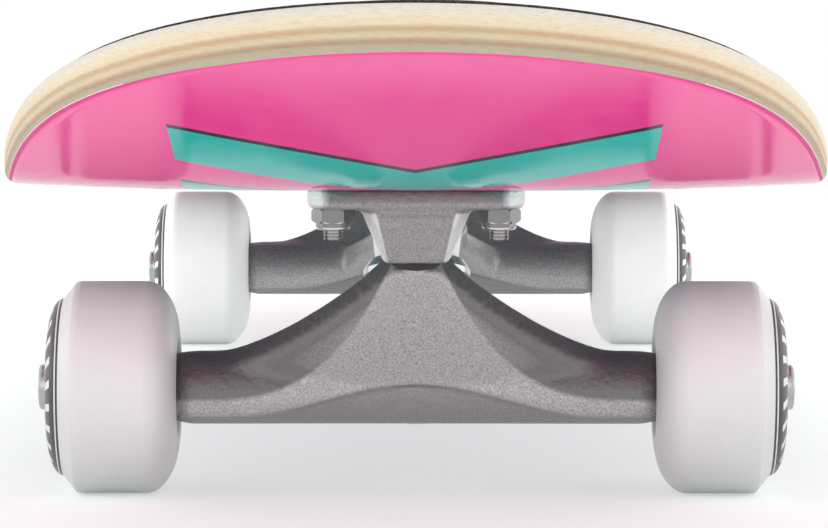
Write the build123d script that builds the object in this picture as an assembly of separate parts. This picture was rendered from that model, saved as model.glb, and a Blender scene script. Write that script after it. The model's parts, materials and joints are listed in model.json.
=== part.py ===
from build123d import *
import os
from math import asin, cos, hypot, radians, sin, tan

# A street skateboard: a pressed maple deck on two cast trucks, with four urethane wheels on ball bearings.
# X runs across the deck, Y along it towards the nose and Z up. The origin is on the ground under the
# middle of the deck. Lengths are in millimetres and angles in degrees.

# Deck
DECK_WIDTH = 203.2
DECK_THICKNESS = 10.5
WHEELBASE = 355.6
TAIL_LENGTH = 160.7
NOSE_LENGTH = 168.0
TAIL_ANGLE = 16.2
NOSE_ANGLE = 12.4
BEND_SETBACK = 16.4
BEND_RADIUS = 121.5
CONCAVE_FLAT_WIDTH = 62.0
CONCAVE_RISE = 2.0
DECK_EDGE_RADIUS = 3.0
END_CURVE_LENGTH = 174.0
END_SHOULDER = 0.514
END_FULLNESS = 0.749
CUT_MARGIN = 20.0
CUT_OVERSHOOT = 1.0
UPRIGHT_TOLERANCE = 0.02

# Grip tape
GRIP_THICKNESS = 0.8
GRIP_MARGIN = 3.6
GRIP_HOLE_MARGIN = 0.4

# Truck bolts and nuts
BOLT_SPACING_LONG = 53.98
BOLT_SPACING_WIDE = 41.28
BOLT_DIAMETER = 4.76
BOLT_LENGTH = 23.1
BOLT_HEAD_DIAMETER = 9.4
BOLT_HEAD_SINK = 0.8
BOLT_SOCKET_FLATS = 3.2
BOLT_SOCKET_DEPTH = 1.9
BOLT_HOLE_CLEARANCE = 0.15
HEAD_CLEARANCE = 0.05
DECK_NUT_FLATS = 9.5
DECK_NUT_HEX_HEIGHT = 3.8
DECK_NUT_COLLAR_HEIGHT = 1.7
THREAD_CLEARANCE = 0.03

# Truck layout, measured from the middle of the bolt pattern, outward and down from the deck
TRUCK_HEIGHT = 52.3
AXLE_OFFSET = 6.0
PIVOT_OFFSET = 30.0
PIVOT_DEPTH = 11.0
RING_OFFSET = -22.2
RING_DEPTH = 39.0
KINGPIN_LEAN = 16.0

# Baseplate casting
BASEPLATE_WIDTH = 54.0
BASEPLATE_OUTER_REACH = 40.5
BASEPLATE_INNER_REACH = 45.0
BASEPLATE_CORNER_RADIUS = 9.0
FLANGE_THICKNESS = 5.3
FLANGE_CHAMFER = 1.0
PIVOT_BOSS_TOP_WIDTH = 26.0
PIVOT_BOSS_WIDTH = 16.2
PIVOT_BOSS_DEPTH = 18.7
PIVOT_BOSS_SETBACK = 1.2
PIVOT_BOSS_DRAFT = 2.8
PIVOT_BOSS_BACK = 12.0
PIVOT_BOSS_FLARE = 2.0
PIVOT_BOSS_FLARE_STEPS = 4
BOSS_CORNER_RADIUS = 3.0
KINGPIN_BOSS_RADIUS = 10.9
KINGPIN_BOSS_DRAFT = 2.6
RIB_WIDTH = 15.0
RIB_DEPTH = 12.0
RIB_DRAFT = 2.0

# Pivot cup and pivot stem
PIVOT_TIP_RADIUS = 5.0
PIVOT_STEM_RADIUS = 5.15
PIVOT_NECK_RADIUS = 4.5
PIVOT_CLEARANCE = 0.1
PIVOT_CUP_WALL = 1.7
PIVOT_CUP_MOUTH_RADIUS = 6.1
PIVOT_CUP_RIM_RADIUS = 7.9
PIVOT_CUP_RIM_THICKNESS = 2.0
PIVOT_MOUTH_DISTANCE = 4.6
CUP_SEAT_CLEARANCE = 0.05

# Kingpin, bushings and washers
KINGPIN_DIAMETER = 9.52
KINGPIN_HEAD_FLATS = 14.3
KINGPIN_HEAD_HEIGHT = 5.0
KINGPIN_HEAD_COVER = 0.6
KINGPIN_HEAD_CLEARANCE = 0.3
KINGPIN_HOLE_CLEARANCE = 0.1
KINGPIN_END = 2.0
KINGPIN_NUT_FLATS = 14.3
KINGPIN_NUT_HEX_HEIGHT = 6.4
KINGPIN_NUT_COLLAR_HEIGHT = 2.2
CUP_WASHER_THICKNESS = 1.5
BOARDSIDE_RIM_REACH = 1.6
BOARDSIDE_RIM_DROP = 2.6
ROADSIDE_RIM_REACH = 0.6
ROADSIDE_RIM_DROP = 1.2
BUSHING_RADIUS = 12.0
BUSHING_TIP_RADIUS = 9.3
BUSHING_BORE_CLEARANCE = 0.25
BUSHING_EDGE = 1.0
BOARDSIDE_BUSHING_HEIGHT = 12.0
ROADSIDE_BUSHING_HEIGHT = 10.0

# Hanger casting
HANGER_WIDTH = 129.0
ARM_TOP = 9.4
ARM_BOTTOM = 9.4
ARM_REACH = 10.2
ARM_CREASE_MIDDLE = 2.2
ARM_CREASE_END = -6.2
ARM_ARCH_HALF_WIDTH = 46.0
ARM_STATIONS = 11
ARM_END_SCALE = 0.84
ARM_END_TAPER = 7.0
WEB_HALF_WIDTH = 55.0
WEB_REACH = 34.5
WEB_TOP = 39.4
WEB_END_TOP = 8.0
WEB_TIP_HALF_THICKNESS = 5.5
WEB_END_HALF_THICKNESS = 4.0
WEB_ROOT_HALF_THICKNESS = 8.6
WEB_ROOT_SINK = 2.0
WEB_EDGE_RADIUS = 1.6
WEB_SWEEP = 1.6
WEB_STATIONS = (0.0, 0.15, 0.35, 0.6, 1.0)
RING_RADIUS = 16.4
RING_EDGE_RADIUS = 2.0
RING_HOLE_RADIUS = 7.5
RING_SEAT_THICKNESS = 7.0
RING_SEAT_RECESS = 0.8
RING_SEAT_CLEARANCE = 0.4
YOKE_RING_WIDTH = 27.0
YOKE_AXLE_WIDTH = 66.0
YOKE_RING_THICKNESS = 7.4
YOKE_AXLE_THICKNESS = 14.0
STACK_ROOM = 1.0

# Axle hardware
AXLE_DIAMETER = 7.94
AXLE_PROTRUSION = 0.2
AXLE_CHAMFER = 0.8
AXLE_SEAT_CLEARANCE = 0.02
SPEED_WASHER_RADIUS = 6.2
SPEED_WASHER_THICKNESS = 1.0
AXLE_NUT_FLATS = 12.7
AXLE_NUT_HEX_HEIGHT = 4.0
AXLE_NUT_COLLAR_HEIGHT = 1.5

# Ball bearings
BEARING_BORE = 8.0
BEARING_DIAMETER = 22.0
BEARING_WIDTH = 7.0
BEARING_PITCH_RADIUS = 7.5
BALL_DIAMETER = 3.969
BALL_COUNT = 7
BALL_CLEARANCE = 0.09
INNER_LAND_RADIUS = 6.0
OUTER_LAND_RADIUS = 9.0
SHIELD_THICKNESS = 0.5
SHIELD_SEAT = 0.7
SHIELD_GAP = 0.25
SHIELD_FACE_DROP = 0.1
CAGE_WALL = 0.8
CAGE_REACH = 1.2
CAGE_BACK = 0.65
POCKET_CLEARANCE = 0.06
SPACER_LENGTH = 10.0
SPACER_WALL = 1.1
SPACER_CLEARANCE = 0.08

# Wheels
WHEEL_DIAMETER = 54.0
WHEEL_WIDTH = 34.0
TREAD_WIDTH = 17.5
HUB_FACE_RADIUS = 13.2
HUB_MOUTH_RADIUS = 12.4
HUB_EDGE = 0.7
HUB_LIP_HEIGHT = 2.4
BEARING_SEAT_CLEARANCE = 0.02
BEARING_POCKET_LAND = 0.4

# Places worked out from the sizes
deck_length = TAIL_LENGTH + NOSE_LENGTH + WHEELBASE + 2 * BOLT_SPACING_LONG
tail_tip = -deck_length / 2
nose_tip = deck_length / 2
tail_bolts = tail_tip + TAIL_LENGTH
nose_bolts = nose_tip - NOSE_LENGTH
underside = WHEEL_DIAMETER / 2 + TRUCK_HEIGHT
deck_top = underside + DECK_THICKNESS

pivot = Vector(0, PIVOT_OFFSET, -PIVOT_DEPTH)
ring_centre = Vector(0, RING_OFFSET, -RING_DEPTH)
axle_centre = Vector(0, AXLE_OFFSET, -TRUCK_HEIGHT)
stem_direction = (pivot - axle_centre).normalized()
mouth_centre = pivot - stem_direction * PIVOT_MOUTH_DISTANCE
kingpin_down = Vector(0, sin(radians(KINGPIN_LEAN)), -cos(radians(KINGPIN_LEAN)))

kingpin_radius = KINGPIN_DIAMETER / 2
axle_radius = AXLE_DIAMETER / 2
ball_radius = BALL_DIAMETER / 2
bolt_radius = BOLT_DIAMETER / 2
bolt_head_radius = BOLT_HEAD_DIAMETER / 2

# Distances along the kingpin from the middle of the hanger's ring, positive towards the ground
boardside_face = -RING_SEAT_THICKNESS / 2
boardside_washer_face = boardside_face - BOARDSIDE_BUSHING_HEIGHT
kingpin_seat = boardside_washer_face - CUP_WASHER_THICKNESS
roadside_face = RING_SEAT_THICKNESS / 2
roadside_washer_face = roadside_face + ROADSIDE_BUSHING_HEIGHT
kingpin_nut_face = roadside_washer_face + CUP_WASHER_THICKNESS
kingpin_nut_end = kingpin_nut_face + KINGPIN_NUT_HEX_HEIGHT + KINGPIN_NUT_COLLAR_HEIGHT
kingpin_top = -RING_DEPTH / cos(radians(KINGPIN_LEAN))
kingpin_head_radius = KINGPIN_HEAD_FLATS / 2 / cos(radians(30))
kingpin_head_top = kingpin_top + kingpin_head_radius * tan(radians(KINGPIN_LEAN)) + KINGPIN_HEAD_COVER
kingpin_head_seat = kingpin_head_top + KINGPIN_HEAD_HEIGHT

# Distances along the axle from the middle of the truck
inner_washer_face = HANGER_WIDTH / 2
inner_bearing_face = inner_washer_face + SPEED_WASHER_THICKNESS
spacer_face = inner_bearing_face + BEARING_WIDTH
outer_bearing_face = spacer_face + SPACER_LENGTH
outer_washer_face = outer_bearing_face + BEARING_WIDTH
axle_nut_face = outer_washer_face + SPEED_WASHER_THICKNESS
axle_reach = axle_nut_face + AXLE_NUT_HEX_HEIGHT + AXLE_NUT_COLLAR_HEIGHT + AXLE_PROTRUSION
wheel_middle = spacer_face + SPACER_LENGTH / 2
bearing_middles = (inner_bearing_face + BEARING_WIDTH / 2, outer_bearing_face + BEARING_WIDTH / 2)


# Shared helpers
def disc(radius, start, end, bore=0.0):
    """A round bar or tube on the Z axis, from start to end."""
    body = Pos(0, 0, start) * Cylinder(radius, end - start, align=(Align.CENTER, Align.CENTER, Align.MIN))
    if bore > 0:
        body -= disc(bore, start - CUT_OVERSHOOT, end + CUT_OVERSHOOT)
    return body


def turned(*points):
    """A solid turned about the Z axis from a closed outline of (radius, height) points."""
    outline = Polyline(*[(radius, 0, height) for radius, height in points], close=True)
    return revolve(make_face(outline), Axis.Z)


def lock_nut(flats, hex_height, collar_height, bore):
    """A hex nut with a rounded locking collar, standing on its bearing face."""
    corner = flats / 2 / cos(radians(30))
    bevel = corner - flats / 2
    blank = extrude(RegularPolygon(flats / 2, 6, major_radius=False), hex_height)
    blank &= chamfer(disc(corner, 0, hex_height).edges().filter_by(GeomType.CIRCLE), bevel)
    collar_radius = flats / 2 - bevel / 2
    collar = disc(collar_radius, hex_height - bevel, hex_height + collar_height)
    collar = fillet(collar.edges().group_by(Axis.Z)[-1], collar_height / 2)
    return blank + collar - disc(bore, -CUT_OVERSHOOT, hex_height + collar_height + CUT_OVERSHOOT)


def along_kingpin(distance):
    """A plane square to the kingpin, facing the ground, at a distance from the ring's middle."""
    return Plane(ring_centre + kingpin_down * distance, x_dir=(1, 0, 0), z_dir=kingpin_down)


def along_axle(side, distance):
    """A plane square to the axle, facing out, at a distance from the truck's middle."""
    return Plane(axle_centre + Vector(side * distance, 0, 0), x_dir=(0, 1, 0), z_dir=(side, 0, 0))


# Deck
def concave_section(low, high):
    """The board's cross-section between two heights above its underside, at the middle of the board."""
    flat = CONCAVE_FLAT_WIDTH / 2
    side = DECK_WIDTH / 2 - flat
    radius = (side**2 + CONCAVE_RISE**2) / (2 * CONCAVE_RISE)
    sweep = asin((side + CUT_MARGIN) / (radius - DECK_THICKNESS - GRIP_THICKNESS))
    outline = []
    ends = {}
    for level in (low, high):
        for hand in (-1, 1):
            bow = [
                (
                    hand * (flat + (radius - level) * sin(angle)),
                    0,
                    underside + radius - (radius - level) * cos(angle),
                )
                for angle in (0, sweep / 2, sweep)
            ]
            outline.append(ThreePointArc(*bow))
            ends[level, hand] = bow
        outline.append(Line(ends[level, -1][0], ends[level, 1][0]))
    for hand in (-1, 1):
        outline.append(Line(ends[low, hand][2], ends[high, hand][2]))
    return make_face(outline)


def pressed_sheet(low, high):
    """A sheet bent up at both ends and hollowed across, between two heights above the underside."""
    tail_bend = tail_bolts - BEND_SETBACK
    nose_bend = nose_bolts + BEND_SETBACK
    section = Pos(0, tail_bend, 0) * concave_section(low, high)
    sheet = extrude(section, nose_bend - tail_bend, dir=(0, 1, 0))
    kicks = ((-1, tail_bend, tail_tip, TAIL_ANGLE), (1, nose_bend, nose_tip, NOSE_ANGLE))
    for hand, bend, tip, angle in kicks:
        turn = radians(angle)
        hinge = Axis((0, bend, underside + BEND_RADIUS), (hand, 0, 0))
        start = Pos(0, bend, 0) * concave_section(low, high)
        rise = abs(tip - bend) - BEND_RADIUS * sin(turn) + CUT_MARGIN
        sheet += revolve(start, hinge, angle)
        sheet += extrude(start.rotate(hinge, angle), rise / cos(turn), dir=(0, hand * cos(turn), sin(turn)))
    return sheet


def deck_outline(inset):
    """The board's plan shape: straight sides running into long rounded ends."""
    half = DECK_WIDTH / 2 - inset
    edges = []
    starts = {}
    for hand, tip in ((-1, tail_tip + inset), (1, nose_tip - inset)):
        start = tip - hand * (END_CURVE_LENGTH - inset)
        shoulder = start + hand * END_SHOULDER * END_CURVE_LENGTH
        starts[hand] = start
        for side in (-half, half):
            edges.append(Bezier((side, start), (side, shoulder), (END_FULLNESS * side, tip), (0, tip)))
    for side in (-half, half):
        edges.append(Line((side, starts[-1]), (side, starts[1])))
    return make_face(edges)


def bolt_places():
    """Plan positions of the eight truck bolts."""
    rows = (tail_bolts, tail_bolts + BOLT_SPACING_LONG, nose_bolts - BOLT_SPACING_LONG, nose_bolts)
    return [(side * BOLT_SPACING_WIDE / 2, row) for row in rows for side in (-1, 1)]


def rim_edges(sheet):
    """The top and bottom edges round the board's upright wall."""
    rim = ShapeList()
    for wall in sheet.faces():
        if abs(wall.normal_at(wall.center()).Z) < UPRIGHT_TOLERANCE:
            for edge in wall.edges():
                run = edge @ 1 - edge @ 0
                if hypot(run.X, run.Y) > DECK_EDGE_RADIUS:
                    rim.append(edge)
    return rim


def deck():
    board = extrude(deck_outline(0), underside + deck_length) & pressed_sheet(0, DECK_THICKNESS)
    board = fillet(rim_edges(board), DECK_EDGE_RADIUS)
    head_top = deck_top - BOLT_HEAD_SINK
    hole = disc(bolt_radius + BOLT_HOLE_CLEARANCE, underside - CUT_OVERSHOOT, deck_top)
    sink = turned(
        (0, head_top - bolt_head_radius - HEAD_CLEARANCE),
        (bolt_head_radius + HEAD_CLEARANCE, head_top),
        (bolt_head_radius + HEAD_CLEARANCE, deck_top + CUT_OVERSHOOT),
        (0, deck_top + CUT_OVERSHOOT),
    )
    for place in bolt_places():
        board -= Pos(*place, 0) * hole
        board -= Pos(*place, 0) * sink
    return board


def grip_tape():
    sheet = extrude(deck_outline(GRIP_MARGIN), underside + deck_length)
    sheet &= pressed_sheet(DECK_THICKNESS, DECK_THICKNESS + GRIP_THICKNESS)
    grip_top = deck_top + GRIP_THICKNESS
    hole = disc(bolt_head_radius + GRIP_HOLE_MARGIN, deck_top - CUT_OVERSHOOT, grip_top + CUT_OVERSHOOT)
    for place in bolt_places():
        sheet -= Pos(*place, 0) * hole
    return sheet


def deck_bolts():
    head_top = deck_top - BOLT_HEAD_SINK
    bolt = disc(bolt_radius, head_top - BOLT_LENGTH, head_top)
    bolt += turned((0, head_top - bolt_head_radius), (bolt_head_radius, head_top), (0, head_top))
    socket = extrude(RegularPolygon(BOLT_SOCKET_FLATS / 2, 6, major_radius=False), BOLT_SOCKET_DEPTH)
    bolt -= Pos(0, 0, head_top - BOLT_SOCKET_DEPTH) * socket
    return [Pos(*place, 0) * bolt for place in bolt_places()]


def deck_nuts():
    bore = bolt_radius + THREAD_CLEARANCE
    nut = lock_nut(DECK_NUT_FLATS, DECK_NUT_HEX_HEIGHT, DECK_NUT_COLLAR_HEIGHT, bore)
    nut = Pos(0, 0, underside - FLANGE_THICKNESS) * Rot(180, 0, 0) * nut
    return [Pos(*place, 0) * nut for place in bolt_places()]


# Truck, in its own frame: Y outward from the middle of the bolt pattern, Z up from the deck's underside
def baseplate_prism(height):
    length = BASEPLATE_OUTER_REACH + BASEPLATE_INNER_REACH
    middle = (BASEPLATE_OUTER_REACH - BASEPLATE_INNER_REACH) / 2
    outline = RectangleRounded(BASEPLATE_WIDTH, length, BASEPLATE_CORNER_RADIUS)
    return Pos(0, middle, -height) * extrude(outline, height)


def pivot_boss():
    """A drafted block, flared into the flange, whose sloping face carries the pivot cup."""
    front = BASEPLATE_OUTER_REACH - PIVOT_BOSS_SETBACK
    top_length = front - PIVOT_BOSS_BACK
    low_length = top_length - PIVOT_BOSS_DRAFT
    sections = [Pos(0, front - top_length / 2, 0) * RectangleRounded(
        PIVOT_BOSS_TOP_WIDTH + 2 * PIVOT_BOSS_FLARE, top_length, BOSS_CORNER_RADIUS)]
    for step in range(PIVOT_BOSS_FLARE_STEPS + 1):
        turn = radians(90 * step / PIVOT_BOSS_FLARE_STEPS)
        width = PIVOT_BOSS_TOP_WIDTH + 2 * PIVOT_BOSS_FLARE * (1 - sin(turn))
        depth = FLANGE_THICKNESS + PIVOT_BOSS_FLARE * (1 - cos(turn))
        slab = RectangleRounded(width, top_length, BOSS_CORNER_RADIUS)
        sections.append(Pos(0, front - top_length / 2, -depth) * slab)
    low = RectangleRounded(PIVOT_BOSS_WIDTH, low_length, BOSS_CORNER_RADIUS)
    sections.append(Pos(0, front - PIVOT_BOSS_DRAFT - low_length / 2, -PIVOT_BOSS_DEPTH) * low)
    block = loft(sections, ruled=True)
    rib_top = RectangleRounded(RIB_WIDTH + RIB_DRAFT, front - RING_OFFSET, BOSS_CORNER_RADIUS)
    rib_low = RectangleRounded(RIB_WIDTH - RIB_DRAFT, front - RING_OFFSET, BOSS_CORNER_RADIUS)
    rib_middle = (front + RING_OFFSET - PIVOT_BOSS_DRAFT) / 2
    block += loft([
        Pos(0, rib_middle, -FLANGE_THICKNESS / 2) * rib_top,
        Pos(0, rib_middle, -RIB_DEPTH) * rib_low,
    ])
    mouth = Plane(mouth_centre, x_dir=(1, 0, 0), z_dir=-stem_direction)
    reach = BASEPLATE_OUTER_REACH + BASEPLATE_INNER_REACH
    below_mouth = mouth * Box(reach, reach, reach, align=(Align.CENTER, Align.CENTER, Align.MIN))
    return block - below_mouth


def kingpin_boss():
    """A tapered boss along the kingpin that ends in the flat seat of the upper cup washer."""
    height = kingpin_seat - kingpin_top
    cone = Cone(KINGPIN_BOSS_RADIUS + KINGPIN_BOSS_DRAFT, KINGPIN_BOSS_RADIUS, height,
                align=(Align.CENTER, Align.CENTER, Align.MIN))
    return (along_kingpin(kingpin_top) * cone) & baseplate_prism(RING_DEPTH)


def pivot_axis_plane(distance):
    """A plane square to the pivot stem, facing its tip, at a distance from the tip's middle."""
    return Plane(pivot + stem_direction * distance, x_dir=(1, 0, 0), z_dir=stem_direction)


def cup_body(grow):
    """The pivot cup's outside without its rim, grown by a clearance."""
    radius = PIVOT_TIP_RADIUS + PIVOT_CLEARANCE + PIVOT_CUP_WALL + grow
    barrel = disc(radius, -PIVOT_MOUTH_DISTANCE - grow, 0)
    return pivot_axis_plane(0) * (barrel + Sphere(radius))


def baseplate():
    flange = baseplate_prism(FLANGE_THICKNESS)
    flange = chamfer(flange.edges().group_by(Axis.Z)[0], FLANGE_CHAMFER)
    body = flange + pivot_boss() + kingpin_boss()
    body -= cup_body(CUP_SEAT_CLEARANCE)
    pocket_radius = kingpin_head_radius + KINGPIN_HEAD_CLEARANCE
    body -= along_kingpin(0) * disc(pocket_radius, kingpin_top - pocket_radius, kingpin_head_seat)
    bore = kingpin_radius + KINGPIN_HOLE_CLEARANCE
    body -= along_kingpin(0) * disc(bore, kingpin_top, kingpin_seat + CUT_OVERSHOOT)
    for along in (-1, 1):
        for side in (-1, 1):
            place = (side * BOLT_SPACING_WIDE / 2, along * BOLT_SPACING_LONG / 2, 0)
            body -= Pos(*place) * disc(bolt_radius + BOLT_HOLE_CLEARANCE, -PIVOT_BOSS_DEPTH, CUT_OVERSHOOT)
    return body


def pivot_cup():
    cup = cup_body(0)
    rim_start = -PIVOT_MOUTH_DISTANCE - PIVOT_CUP_RIM_THICKNESS
    cup += pivot_axis_plane(0) * disc(PIVOT_CUP_RIM_RADIUS, rim_start, -PIVOT_MOUTH_DISTANCE)
    room = PIVOT_TIP_RADIUS + PIVOT_CLEARANCE
    flare_end = rim_start - CUT_OVERSHOOT
    flare = turned((0, 0), (room, 0), (PIVOT_CUP_MOUTH_RADIUS, flare_end), (0, flare_end))
    return cup - pivot_axis_plane(0) * (flare + Sphere(room))


def kingpin():
    shank = disc(kingpin_radius, kingpin_head_seat, kingpin_nut_end + KINGPIN_END)
    shank = chamfer(shank.edges().group_by(Axis.Z)[-1], KINGPIN_END / 2)
    head = extrude(RegularPolygon(KINGPIN_HEAD_FLATS / 2, 6, major_radius=False), KINGPIN_HEAD_HEIGHT)
    return along_kingpin(0) * (shank + Pos(0, 0, kingpin_head_top) * head)


def kingpin_nut():
    bore = kingpin_radius + THREAD_CLEARANCE
    nut = lock_nut(KINGPIN_NUT_FLATS, KINGPIN_NUT_HEX_HEIGHT, KINGPIN_NUT_COLLAR_HEIGHT, bore)
    return along_kingpin(kingpin_nut_face) * nut


def cup_washer(bushing_radius, rim_reach, rim_drop):
    """A pressed washer whose rim folds down round the end of a bushing."""
    bore = kingpin_radius + BUSHING_BORE_CLEARANCE
    inner = bushing_radius + RING_SEAT_CLEARANCE
    radius = inner + rim_reach
    thick = CUP_WASHER_THICKNESS
    return turned(
        (bore, 0),
        (inner, 0),
        (radius, rim_drop),
        (radius, rim_drop + thick),
        (inner, thick),
        (bore, thick),
    )


def boardside_washer():
    washer = cup_washer(BUSHING_RADIUS, BOARDSIDE_RIM_REACH, BOARDSIDE_RIM_DROP)
    return along_kingpin(kingpin_seat) * washer


def roadside_washer():
    washer = cup_washer(BUSHING_TIP_RADIUS, ROADSIDE_RIM_REACH, ROADSIDE_RIM_DROP)
    return along_kingpin(kingpin_nut_face) * Rot(180, 0, 0) * washer


def boardside_bushing():
    bore = kingpin_radius + BUSHING_BORE_CLEARANCE
    body = disc(BUSHING_RADIUS, boardside_washer_face, boardside_face, bore)
    ends = body.edges().filter_by(GeomType.CIRCLE).filter_by(lambda edge: edge.radius > bore + BUSHING_EDGE)
    return along_kingpin(0) * fillet(ends, BUSHING_EDGE)


def roadside_bushing():
    bore = kingpin_radius + BUSHING_BORE_CLEARANCE
    body = turned(
        (bore, roadside_face),
        (BUSHING_RADIUS, roadside_face),
        (BUSHING_RADIUS, roadside_face + ROADSIDE_BUSHING_HEIGHT / 4),
        (BUSHING_TIP_RADIUS, roadside_washer_face),
        (bore, roadside_washer_face),
    )
    ends = body.edges().filter_by(GeomType.CIRCLE).filter_by(lambda edge: edge.radius > bore + BUSHING_EDGE)
    return along_kingpin(0) * fillet(ends, BUSHING_EDGE)


# Hanger casting
def bow(start, end, centre):
    """An arc about a centre, the short way from start to end."""
    start, end, centre = Vector(*start), Vector(*end), Vector(*centre)
    middle = centre + ((start + end) / 2 - centre).normalized() * (start - centre).length
    return ThreePointArc(start, middle, end)


def crease_height(distance):
    """The arm's crease arches up towards the middle of the truck."""
    turn = radians(180 * min(abs(distance) / ARM_ARCH_HALF_WIDTH, 1))
    return ARM_CREASE_END + (ARM_CREASE_MIDDLE - ARM_CREASE_END) * (1 + cos(turn)) / 2


def arm_section(distance, scale):
    """The arm's cross-section: round above and below, with a soft crease along its front and back."""
    top = ARM_TOP * scale
    bottom = -ARM_BOTTOM * scale
    reach = ARM_REACH * scale
    crease = crease_height(distance) * scale
    upper = top - (reach**2 + (top - crease) ** 2) / (2 * (top - crease))
    lower = bottom + (reach**2 + (crease - bottom) ** 2) / (2 * (crease - bottom))
    edges = []
    for hand in (-1, 1):
        edges.append(bow((0, top), (hand * reach, crease), (0, upper)))
        edges.append(bow((hand * reach, crease), (0, bottom), (0, lower)))
    return along_axle(1, distance) * make_face(edges)


def hanger_arms():
    taper_start = HANGER_WIDTH / 2 - ARM_END_TAPER
    spacing = 2 * taper_start / (ARM_STATIONS - 1)
    arms = loft([arm_section(station * spacing - taper_start, 1) for station in range(ARM_STATIONS)])
    for side in (-1, 1):
        tip = arm_section(side * HANGER_WIDTH / 2, ARM_END_SCALE)
        arms += loft([arm_section(side * taper_start, 1), tip])
    return arms


def web_section(side, share):
    """A slice of the web at a share of the way from the stem to where the web dies into the arm."""
    distance = PIVOT_STEM_RADIUS + share * (WEB_HALF_WIDTH - PIVOT_STEM_RADIUS)
    top = WEB_END_TOP + (WEB_TOP - WEB_END_TOP) * (1 - share) ** WEB_SWEEP
    tip = WEB_TIP_HALF_THICKNESS + share * (WEB_END_HALF_THICKNESS - WEB_TIP_HALF_THICKNESS)
    root = WEB_ROOT_HALF_THICKNESS
    outline = Polyline((-WEB_ROOT_SINK, -root), (top, -tip), (top, tip), (-WEB_ROOT_SINK, root), close=True)
    slab = make_face(outline)
    slab = fillet(slab.vertices().sort_by(Axis.X)[-2:], WEB_EDGE_RADIUS)
    return Plane(axle_centre + Vector(side * distance, 0, 0), x_dir=stem_direction, z_dir=(side, 0, 0)) * slab


def hanger_web():
    web = extrude(web_section(1, 0), -2 * PIVOT_STEM_RADIUS)
    for side in (-1, 1):
        web += loft([web_section(side, share) for share in WEB_STATIONS])
    return web


def pivot_stem():
    reach = (pivot - axle_centre).length
    stem = turned(
        (0, -reach),
        (PIVOT_STEM_RADIUS, -reach),
        (PIVOT_STEM_RADIUS, WEB_REACH - reach),
        (PIVOT_NECK_RADIUS, 0),
        (0, 0),
    )
    return pivot_axis_plane(0) * (stem + Sphere(PIVOT_TIP_RADIUS))


def kingpin_ring():
    half = RING_SEAT_THICKNESS / 2 + RING_SEAT_RECESS
    ring = disc(RING_RADIUS, -half, half)
    ring = fillet(ring.edges().filter_by(GeomType.CIRCLE), RING_EDGE_RADIUS)
    return along_kingpin(0) * ring


def hanger_yoke():
    """The tapered neck from the kingpin ring to the axle arms."""
    run = axle_centre - ring_centre
    near = Plane(ring_centre, x_dir=(1, 0, 0), z_dir=run)
    far = Plane(axle_centre, x_dir=(1, 0, 0), z_dir=run)
    ring_end = RectangleRounded(YOKE_RING_WIDTH, YOKE_RING_THICKNESS, YOKE_RING_THICKNESS / 3)
    axle_end = RectangleRounded(YOKE_AXLE_WIDTH, YOKE_AXLE_THICKNESS, YOKE_AXLE_THICKNESS / 3)
    return loft([near * ring_end, far * axle_end])


def hanger():
    body = hanger_arms() + hanger_web() + pivot_stem() + kingpin_ring() + hanger_yoke()
    seat = BUSHING_RADIUS + RING_SEAT_CLEARANCE
    room = BUSHING_RADIUS + STACK_ROOM
    body -= along_kingpin(0) * disc(RING_HOLE_RADIUS, boardside_washer_face, roadside_washer_face)
    body -= along_kingpin(0) * disc(seat, boardside_face - RING_SEAT_RECESS, boardside_face)
    body -= along_kingpin(0) * disc(room, boardside_washer_face, boardside_face - RING_SEAT_RECESS)
    body -= along_kingpin(0) * disc(seat, roadside_face, roadside_face + RING_SEAT_RECESS)
    body -= along_kingpin(0) * disc(room, roadside_face + RING_SEAT_RECESS, kingpin_nut_end)
    bore = disc(axle_radius + AXLE_SEAT_CLEARANCE, -HANGER_WIDTH, HANGER_WIDTH)
    return body - along_axle(1, 0) * bore


# Axle hardware
def axle():
    bar = disc(axle_radius, -axle_reach, axle_reach)
    return along_axle(1, 0) * chamfer(bar.edges().filter_by(GeomType.CIRCLE), AXLE_CHAMFER)


def axle_nuts():
    bore = axle_radius + THREAD_CLEARANCE
    nut = lock_nut(AXLE_NUT_FLATS, AXLE_NUT_HEX_HEIGHT, AXLE_NUT_COLLAR_HEIGHT, bore)
    return [along_axle(side, axle_nut_face) * nut for side in (-1, 1)]


def speed_washers():
    washer = disc(SPEED_WASHER_RADIUS, 0, SPEED_WASHER_THICKNESS, axle_radius + SPACER_CLEARANCE)
    faces = (inner_washer_face, outer_washer_face)
    return [along_axle(side, face) * washer for side in (-1, 1) for face in faces]


def bearing_spacers():
    bore = axle_radius + SPACER_CLEARANCE
    spacer = disc(bore + SPACER_WALL, 0, SPACER_LENGTH, bore)
    return [along_axle(side, spacer_face) * spacer for side in (-1, 1)]


# Bearings
def ball_track():
    return Torus(BEARING_PITCH_RADIUS, ball_radius + BALL_CLEARANCE)


def bearing_inner_races():
    half = BEARING_WIDTH / 2
    race = disc(INNER_LAND_RADIUS, -half, half, BEARING_BORE / 2) - ball_track()
    return [along_axle(side, middle) * race for side in (-1, 1) for middle in bearing_middles]


def bearing_outer_races(side):
    half = BEARING_WIDTH / 2
    race = disc(BEARING_DIAMETER / 2, -half, half, OUTER_LAND_RADIUS) - ball_track()
    for hand in (-1, 1):
        step = disc(OUTER_LAND_RADIUS + SHIELD_SEAT, half - SHIELD_SEAT, half + 1)
        race -= Rot(90 - 90 * hand, 0, 0) * step
    return [along_axle(side, middle) * race for middle in bearing_middles]


def bearing_shields(side):
    face = BEARING_WIDTH / 2 - SHIELD_FACE_DROP
    bore = INNER_LAND_RADIUS + SHIELD_GAP
    shield = disc(OUTER_LAND_RADIUS + SHIELD_SEAT, face - SHIELD_THICKNESS, face, bore)
    turns = (Rot(0, 0, 0), Rot(180, 0, 0))
    return [along_axle(side, middle) * turn * shield for middle in bearing_middles for turn in turns]


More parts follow.
